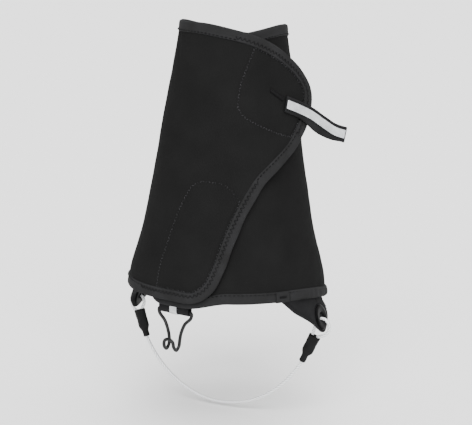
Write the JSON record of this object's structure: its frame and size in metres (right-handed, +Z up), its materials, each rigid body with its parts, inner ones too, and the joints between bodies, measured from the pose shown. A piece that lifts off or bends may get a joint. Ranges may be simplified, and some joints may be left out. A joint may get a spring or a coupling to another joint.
{
  "type": "gaiter",
  "caption": "Short left-leg boot gaiter: tapered fabric tube with hook-and-loop front flap, pull tab, wire lace hook and steel cable stirrup hung from grommets.",
  "frame": {"origin": "on the leg's axis at the level of the hem", "axes": "+Z up the leg, -Y towards the toes, +X towards the wearer's left, the outer side"},
  "size_m": [0.1636, 0.1501, 0.2862],
  "materials": {
    "shell_fabric": "woven softshell, matt",
    "binding_tape": "folded stretch tape, matt",
    "hook_tape": "hook tape",
    "loop_tape": "brushed loop tape",
    "webbing": "woven webbing",
    "seam_tape": "smooth bonded tape",
    "elastic_band": "ribbed elastic",
    "thread": "satin-stitched thread",
    "reflective": "retroreflective tape",
    "grommet_metal": "black, satin",
    "hook_wire": "black, satin",
    "coated_cable": "stranded steel in a clear coat",
    "crimp_alloy": "crimped",
    "heat_shrink": "black shrink sleeve, satin"
  },
  "bodies": {
    "gaiter": {"left_panel": "shell_fabric", "underlap_panel": "shell_fabric", "back_seam_tape": "seam_tape", "top_binding_left": "binding_tape", "hem_binding_left": "binding_tape", "underlap_edge_binding": "binding_tape", "underlap_top_binding": "binding_tape", "hem_channel": "binding_tape", "hem_elastic": "elastic_band", "hem_join_strip": "binding_tape", "hem_bartack": "thread", "loop_patch_upper": "loop_tape", "loop_patch_lower": "loop_tape", "side_tab_right": "webbing", "side_tab_left": "webbing", "grommet_face_right": "grommet_metal", "grommet_face_left": "grommet_metal", "grommet_washer_right": "grommet_metal", "grommet_washer_left": "grommet_metal", "lace_hook_webbing": "webbing", "lace_hook_reflector": "reflective"},
    "flap": {"flap_panel": "shell_fabric", "flap_binding_upper": "binding_tape", "flap_binding_lower": "binding_tape", "hook_patch_upper": "hook_tape", "hook_patch_lower": "hook_tape", "pull_tab_bartack": "thread"},
    "pull_tab": {"pull_tab_webbing": "webbing", "pull_tab_reflector": "reflective"},
    "lace_hook": {"lace_hook_wire": "hook_wire"},
    "stirrup": {"stirrup_cable": "coated_cable", "ferrule_right": "crimp_alloy", "sleeve_right": "heat_shrink", "ferrule_left": "crimp_alloy", "sleeve_left": "heat_shrink"}
  },
  "joints": [
    {"name": "flap_open", "type": "hinge", "parent": "gaiter", "child": "flap", "pos_m": [-0.03093, -0.05147, 0.1], "axis": [-0.0934, -0.1554, -0.9834], "range_deg": [0, 110]},
    {"name": "pull_tab_lift", "type": "hinge", "parent": "flap", "child": "pull_tab", "pos_m": [0.04751, -0.01642, 0.1428], "axis": [0.014, -0.37, -0.9289], "range_deg": [0, 80]},
    {"name": "lace_hook_swing", "type": "hinge", "parent": "gaiter", "child": "lace_hook", "pos_m": [-0.01229, -0.06322, -0.0037], "axis": [0.9816, -0.1908, 0], "range_deg": [-85, 75]},
    {"name": "stirrup_swing", "type": "hinge", "parent": "gaiter", "child": "stirrup", "pos_m": [0, 0, -0.013], "axis": [1, 0, 0], "range_deg": [-45, 45]}
  ]
}
